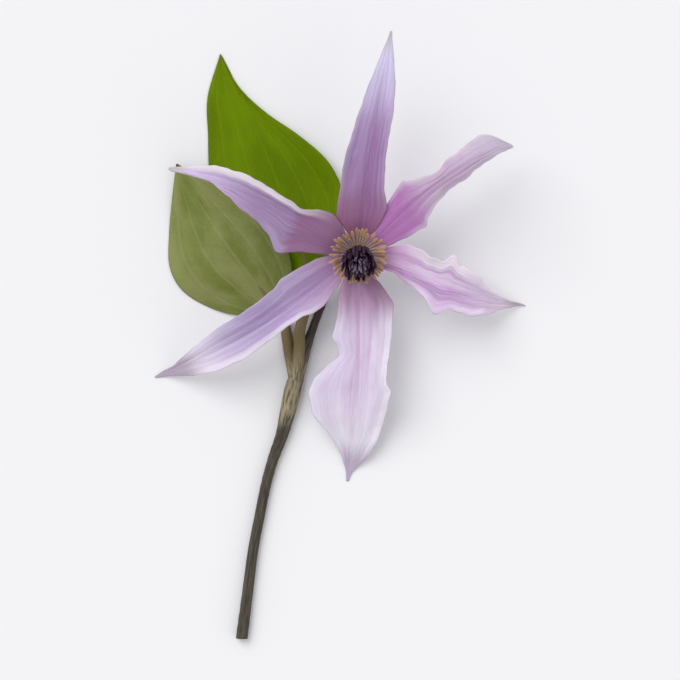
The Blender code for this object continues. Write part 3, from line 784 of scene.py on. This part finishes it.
def leaf_middle(leaf, t, s):
    """A leaf blade's middle surface: an oval about a bowed midrib, with sunk nerves and puckers between."""
    base, tip = np.array(leaf.base[:2]), np.array(leaf.tip[:2])
    along = tip - base
    aside = np.array([-along[1], along[0]]) / np.linalg.norm(along)
    left = through((*leaf.left, SEPAL_LEAST_HALF_WIDTH), t)
    right = through((*leaf.right, SEPAL_LEAST_HALF_WIDTH), t)
    width = np.maximum(np.where(s >= 0, left, right), SEPAL_LEAST_HALF_WIDTH)
    middle = np.sin(math.pi * np.clip(t, 0, 1))
    plan = base + t[..., None] * along + (s * width + leaf.bow * middle)[..., None] * aside
    side = np.where(s >= 0, leaf.side_lift[0], leaf.side_lift[1])
    height = through(leaf.heights, t) + side * middle * s * s
    grooves = sum(bell(np.abs(s) - place, 0.035) for place in LEAF_NERVES)
    veins = np.abs(np.sin(math.pi * (LEAF_VEIN_RATE * t - LEAF_VEIN_SLANT * np.abs(s))))
    height = height - leaf.pucker * grooves * middle**0.5 * 0.9 + leaf.pucker * 0.6 * veins * middle
    height = height + 0.5 * middle * np.sin(2 * math.pi * (2.2 * t + 0.2)) * np.abs(s) ** 3
    height = above_table(height, LEAF_HALF_THICKNESS + CLEAR_OF_TABLE)
    return np.concatenate([plan, height[..., None]], axis=-1)


def leaf_stalk_arrays(leaf):
    """The leaf stalk: from inside the node along the blade's midrib, flattened, with a groove on top."""
    inset = LEAF_STALK_INSET / math.dist(leaf.base[:2], leaf.tip[:2])
    inside = leaf_middle(leaf, np.array([0.0, inset, 4 * inset]), np.zeros(3))
    heart, foot, bend = (np.array(point) for point in (NODE_HEART, leaf.foot, leaf.bend))
    route = [heart, 0.45 * heart + 0.55 * foot, foot, 0.5 * (foot + bend), bend, *inside]
    t = np.linspace(0, 1, LEAF_STALK_CELLS[0])
    line = through(route, t)
    line[:, 2] = np.maximum(line[:, 2], LEAF_STALK_LEAST_HEIGHT)
    radius = through(LEAF_STALK_SWELL, t) * LEAF_STALK_RADIUS
    a = round_angles(LEAF_STALK_CELLS[1])
    groove = 1 - 0.22 * bell(a - math.pi / 2, 0.4)
    wide = radius[:, None] * groove
    return tube_arrays(line, wide, 0.9 * wide, np.array([1.0, 0.0, 0.0]))


def make_leaves():
    """Each leaf: its blade and its stalk as one piece with two finishes."""
    for number, leaf in enumerate(LEAVES):
        values = dict(zip(LEAF_COLOUR_LABELS, LEAF_COLOURS[leaf.node]))
        values["Seed"] = 5.1 * number
        blade_finish = painted(leaf.node + "_tissue", "leaf", 0.14, values, subsurface=0.03, gloss=0.04)
        blade = blade_arrays(partial(leaf_middle, leaf), LEAF_HALF_THICKNESS, LEAF_CELLS)
        stalk = leaf_stalk_arrays(leaf)
        materials = [blade_finish, LEAF_STALK_FINISH]
        piece = finished(leaf.node + "_blade_and_stalk", joined(blade, stalk), materials, leaf.node)
        which = np.repeat([0, 1], [len(blade[1]), len(stalk[1])]).astype(np.int32)
        piece.data.polygons.foreach_set("material_index", which)


# ---- stalk and receptacle


def make_stalk():
    """The stalk: ribbed, swollen at its node, from its cut end up into the receptacle's neck."""
    top = from_flower([(0, 0, -NECK_DEPTH + STALK_INTO_NECK)])[0]
    below = from_flower([(0, 0, -NECK_DEPTH - STALK_GAP - STALK_STRAIGHT)])[0]
    t = np.linspace(0, 1, STALK_CELLS[0])
    line = through([*STALK_ROUTE, tuple(below), tuple(top)], t)
    radius = through(STALK_RADII, t)
    a = round_angles(STALK_CELLS[1])
    ribs = 1 + 0.045 * np.cos(6 * a + 0.5)
    knobs = 1 + 0.02 * np.sin(2 * math.pi * 37 * t)[:, None] * np.cos(a + 9 * t[:, None])
    wide = radius[:, None] * ribs * knobs
    cut = np.array([0.02, 0.6, 0.93])[:, None] * wide[:1]
    cut_line = np.repeat(line[:1], 3, axis=0) + [[0, 0.02, 0], [0, 0.01, 0], [0, 0, 0]]
    line = np.concatenate([cut_line, line + [0, 0.06, 0]])
    wide = np.concatenate([cut, wide])
    shape = tube_arrays(line, wide, wide, np.array([1.0, 0.0, 0.0]))
    finished("stalk_with_node", shape, [STALK_FINISH], "stalk")


def make_receptacle():
    """The receptacle: a dome with a tapering neck, turned about the flower's axis."""
    rings = turned_rings(receptacle_profile(DOME_CELLS[0])[1:-1], DOME_CELLS[1])
    ends = from_flower([(0, 0, DOME_HEIGHT), (0, 0, -NECK_DEPTH)])
    shape = closed_rings(rings, ends, turned_over=True)
    finished("receptacle_dome", shape, [RECEPTACLE_FINISH], "receptacle")


# ---- stamens and styles


def thread_arrays(whorl, bearing, rng, ring=None, spread=1.0):
    """One stamen or style: a flat thread that leans from start to end, then a head with a groove.

    ring is where it stands, if not on its whorl's own ring. spread is how unlike its fellows it leans.
    """
    count, around = THREAD_CELLS
    ring = whorl.ring if ring is None else ring
    length = whorl.length * (1 + 0.07 * rng.standard_normal())
    start = whorl.start + 3 * spread * rng.standard_normal()
    end = whorl.end + 5 * spread * rng.standard_normal()
    lean = np.radians(np.linspace(start, end, count - 1))
    step = length / (count - 1)
    foot_height = DOME_HEIGHT * math.sqrt(1 - (ring / DOME_RADIUS) ** 2)
    radius = ring + np.concatenate([[0], np.cumsum(step * np.sin(lean))])
    height = foot_height + 0.1 + np.concatenate([[0], np.cumsum(step * np.cos(lean))])
    sway = 0.25 * rng.standard_normal() * np.linspace(0, 1, count) ** 2
    x, y = turned(radius, sway, bearing)
    y = y - whorl.droop * np.linspace(0, 1, count) ** 2
    line = from_flower(np.stack([x, y, height], axis=-1))
    t = np.linspace(0, 1, count)[:, None]
    into = np.clip((t - (1 - whorl.head)) / whorl.head, 0, 1)
    a = round_angles(around)[None]
    thread = whorl.thick[0] * (1.15 - 0.3 * t)
    head = whorl.thick[1] * np.sin(math.pi * np.clip(0.03 + 0.94 * into, 0, 1)) ** 0.4
    groove = 1 - 0.3 * bell(np.abs(a - math.pi / 2), 0.35) - 0.15 * bell(np.abs(a - 1.5 * math.pi), 0.35)
    swell = ease(np.clip(into * 6, 0, 1))
    wide = thread * 1.25 * (1 - swell) + head * groove * swell
    deep = thread * 0.8 * (1 - swell) + 0.72 * head * groove * swell
    tip = np.clip((1 - t) * 30, 0.05, 1)
    side = np.array([-math.sin(math.radians(bearing)), math.cos(math.radians(bearing)), 0.0])
    return tube_arrays(line, wide * tip, deep * tip, side)


def make_stamens():
    """A finer stamen over each solid one, and a ring of more between them as one piece."""
    rng = np.random.default_rng(11)
    for whorl in WHORLS:
        for i in range(whorl.count):
            bearing = (i + whorl.offset) * FULL_TURN / whorl.count
            shape = thread_arrays(whorl, bearing, rng)
            node = f"{whorl.name}_{i + 1:02d}"
            finished(node + "_fine", shape, [THREAD_FINISHES[whorl.finish]], node)
        some = []
        for i in range(whorl.between):
            bearing = (i + 0.5 + whorl.offset) * FULL_TURN / whorl.between
            some.append(thread_arrays(whorl, bearing, rng, whorl.ring - BETWEEN_INSET, BETWEEN_SPREAD))
        materials = [THREAD_FINISHES[whorl.finish]]
        finished(whorl.name + "s_between", joined(*some), materials, None)


def make_styles():
    """Each style as a small tuft of slender curling strands."""
    rng = np.random.default_rng(5)
    for i in range(STYLES.count):
        strands = []
        for k in range(STRANDS_PER_STYLE):
            bearing = (i + STYLES.offset) * FULL_TURN / STYLES.count + 15 * (k - 2)
            bearing = bearing + 6 * rng.standard_normal()
            leaning = STYLES._replace(
                end=STYLES.end + 26 * rng.random(),
                length=STYLES.length * (0.92 + 0.16 * rng.random()),
            )
            strands.append(thread_arrays(leaning, bearing, rng, 0.12 + 0.17 * k))
        node = f"{STYLES.name}_{i + 1:02d}"
        finished(node + "_tuft", joined(*strands), [THREAD_FINISHES["style"]], node)


def stem_values(light, dark, end, end_start, end_full, length, groove=0.0, seed=0.0, knot=None):
    """The stem pattern's inputs. knot is (place, reach, colour), the first two as shares of the length."""
    knot_place, knot_reach, knot_colour = knot or (-1.0, 0.1, light)
    return {
        "Light": light, "Dark": dark, "End": end, "End start": end_start, "End full": end_full,
        "Length": length, "Groove shade": groove, "Seed": seed,
        "Knot place": knot_place, "Knot reach": knot_reach, "Knot": knot_colour,
    }


STALK_FINISH = painted(
    "stalk_skin", "stem", 0.12,
    stem_values(rgb(82, 76, 62), rgb(48, 42, 34), rgb(56, 44, 36), 0.64, 0.8, 24.0,
                knot=(0.57, 0.13, rgb(156, 146, 118))),
    gloss=0.25,
)
LEAF_STALK_FINISH = painted(
    "leaf_stalk_skin", "stem", 0.1,
    stem_values(rgb(160, 150, 120), rgb(112, 96, 70), rgb(124, 108, 74), 0.15, 0.4, 8.0, seed=3.0),
    gloss=0.25,
)
RECEPTACLE_FINISH = painted(
    "receptacle_skin", "stem", 0.15,
    stem_values(rgb(82, 56, 62), rgb(56, 34, 44), rgb(78, 66, 52), 0.55, 0.8, 4.0),
)
# the anthers' groove value is painted shade down the grooved side of each thread
THREAD_FINISHES = {
    "pollen_anther": painted(
        "tan_anther_and_cream_thread", "stem", 0.06,
        stem_values(rgb(204, 186, 166), rgb(172, 138, 120), rgb(198, 160, 122), 0.5, 0.62, 3.0, groove=0.25),
    ),
    "dark_anther": painted(
        "dark_anther_and_purple_thread", "stem", 0.06,
        stem_values(rgb(100, 60, 84), rgb(70, 36, 60), rgb(50, 24, 48), 0.3, 0.5, 3.0, groove=0.3, seed=2.0),
    ),
    # the styles' paler End colour is partly painted highlight on the upper ends of the strands, where the
    # tuft catches the light
    "style": painted(
        "grey_purple_style", "stem", 0.06,
        stem_values(rgb(88, 72, 98), rgb(58, 44, 66), rgb(110, 98, 120), 0.6, 0.95, 3.0, seed=4.0),
    ),
}


# ---- surroundings

PALE = rgb(243, 243, 245)
LIGHTING_WORLD = 0.65  # the world's strength where it lights the flower
SEEN_WORLD = 1.0  # and where it is seen
FLOOR_HALF = 3.0
SENSOR_WIDTH = 36
LENS = 150
VIEW_WIDTH = 0.127
VIEW_HEIGHT = 0.01  # the level at which the view is that wide


def make_floor():
    """A large plain pale floor."""
    mesh = bpy.data.meshes.new("floor")
    corners = [(x * FLOOR_HALF, y * FLOOR_HALF, 0) for x, y in ((-1, -1), (1, -1), (1, 1), (-1, 1))]
    mesh.from_pydata(corners, [], [(0, 1, 2, 3)])
    material = bpy.data.materials.new("pale_floor")
    material.use_nodes = True
    shader = material.node_tree.nodes["Principled BSDF"]
    shader.inputs["Base Color"].default_value = PALE
    shader.inputs["Roughness"].default_value = 0.9
    shader.inputs["Specular IOR Level"].default_value = 0.1
    mesh.materials.append(material)
    floor = bpy.data.objects.new("floor", mesh)
    bpy.context.scene.collection.objects.link(floor)


def aim(obj, target):
    """Turns a lamp or camera to look at a point."""
    direction = np.asarray(target, float) - np.array(obj.location)
    tilt = math.atan2(math.hypot(direction[0], direction[1]), -direction[2])
    obj.rotation_euler = (tilt, 0, math.atan2(direction[1], direction[0]) - math.pi / 2)


def soft_sun(name, place, spread, strength):
    """A lamp without falloff that shines from place towards the middle, from a disk spread degrees wide."""
    lamp = bpy.data.lights.new(name, "SUN")
    lamp.angle = math.radians(spread)
    lamp.energy = strength
    obj = bpy.data.objects.new(name, lamp)
    obj.location = place
    bpy.context.scene.collection.objects.link(obj)
    aim(obj, (0, 0, 0))


def make_light():
    """Plain soft studio light: an even world, as pale as the floor where it is seen, and two broad suns."""
    world = bpy.data.worlds.new("studio")
    bpy.context.scene.world = world
    world.use_nodes = True
    tree = world.node_tree
    background = tree.nodes["Background"]
    background.inputs["Color"].default_value = PALE
    ray = tree.nodes.new("ShaderNodeLightPath").outputs
    seen = sums(tree, "MAXIMUM", ray["Is Camera Ray"], ray["Is Transmission Ray"])
    seen = sums(tree, "MAXIMUM", seen, ray["Is Glossy Ray"])
    strength = sums(tree, "MULTIPLY_ADD", seen, SEEN_WORLD - LIGHTING_WORLD, LIGHTING_WORLD)
    feed(tree, background.inputs["Strength"], strength)
    soft_sun("main_sun", (-0.45, 0.5, 0.8), 45, 1.5)
    soft_sun("fill_sun", (0.6, -0.4, 0.6), 50, 0.3)


def make_camera():
    """Straight above the flower, far off with a long lens, so that height hardly changes size."""
    data = bpy.data.cameras.new("camera")
    data.sensor_width = SENSOR_WIDTH
    data.lens = LENS
    camera = bpy.data.objects.new("camera", data)
    camera.location = (0, 0, VIEW_HEIGHT + VIEW_WIDTH * LENS / SENSOR_WIDTH)
    bpy.context.scene.collection.objects.link(camera)
    bpy.context.scene.camera = camera


make_camera()
make_sepals()
make_receptacle()
make_stalk()
make_leaves()
make_stamens()
make_styles()
make_floor()
make_light()
bpy.context.scene.view_settings.view_transform = "Standard"
